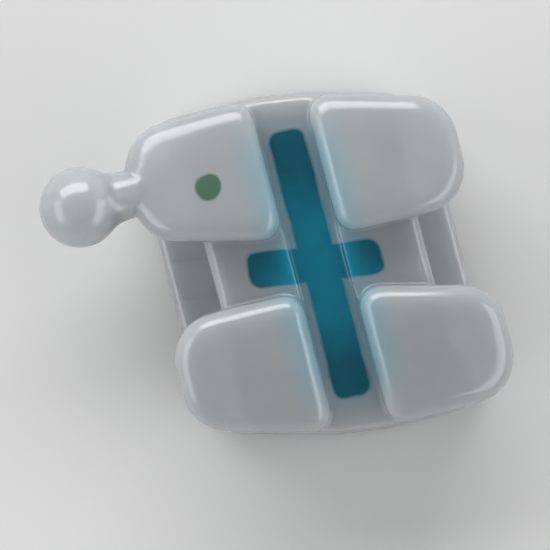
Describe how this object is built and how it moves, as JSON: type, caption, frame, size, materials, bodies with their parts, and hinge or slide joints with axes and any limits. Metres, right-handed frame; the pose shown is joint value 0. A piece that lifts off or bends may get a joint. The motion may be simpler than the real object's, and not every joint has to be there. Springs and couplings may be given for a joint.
{
  "type": "orthodontic bracket",
  "caption": "Translucent ceramic bracket bonded to a canine: curved base, archwire slot with a painted alignment cross, undercut rounded tie wings and a ball hook.",
  "frame": {"origin": "middle of the concave bonding surface, where the slot's centre line and the long axis of the tooth cross", "axes": "+X distally along the archwire slot, +Y gingivally towards the ball hook, +Z away from the tooth"},
  "size_m": [0.0038, 0.0044, 0.002],
  "materials": {
    "ceramic": "translucent satin alumina with teal slot and long-axis lines and a green dot painted on"
  },
  "bodies": {
    "root": {"bracket": "ceramic"}
  },
  "joints": []
}
